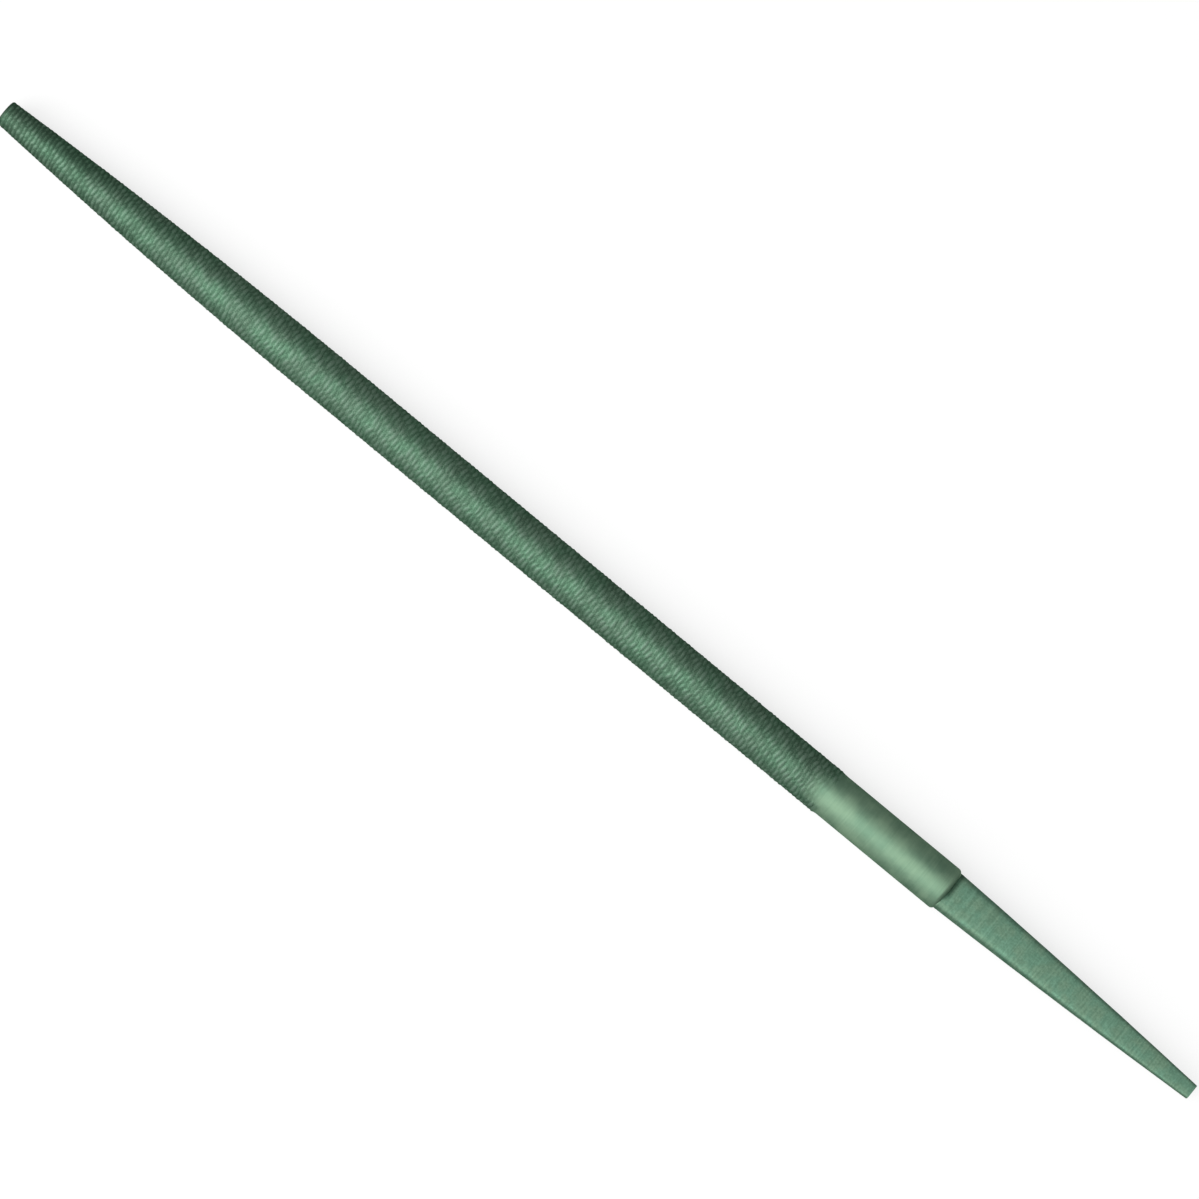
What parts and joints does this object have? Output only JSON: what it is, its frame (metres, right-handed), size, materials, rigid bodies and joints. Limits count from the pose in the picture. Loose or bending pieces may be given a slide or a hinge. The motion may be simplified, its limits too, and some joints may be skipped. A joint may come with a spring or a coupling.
{
  "type": "round file",
  "caption": "Round hand file with double-cut teeth on a tapered body, a plain heel and a bare tapered tang.",
  "frame": {"origin": "on the file's axis, in the plane of the shoulder where the tang starts", "axes": "+X from the shoulder along the tang, into the handle, so the tip points to -X; +Y across the file, in the plane of the tang's broad flats; +Z square to those flats, up as the file lies in the picture"},
  "size_m": [0.3147, 0.0104, 0.0104],
  "materials": {
    "file_steel": "satin, green-grey"
  },
  "bodies": {
    "root": {"round_file": "file_steel"}
  },
  "joints": []
}
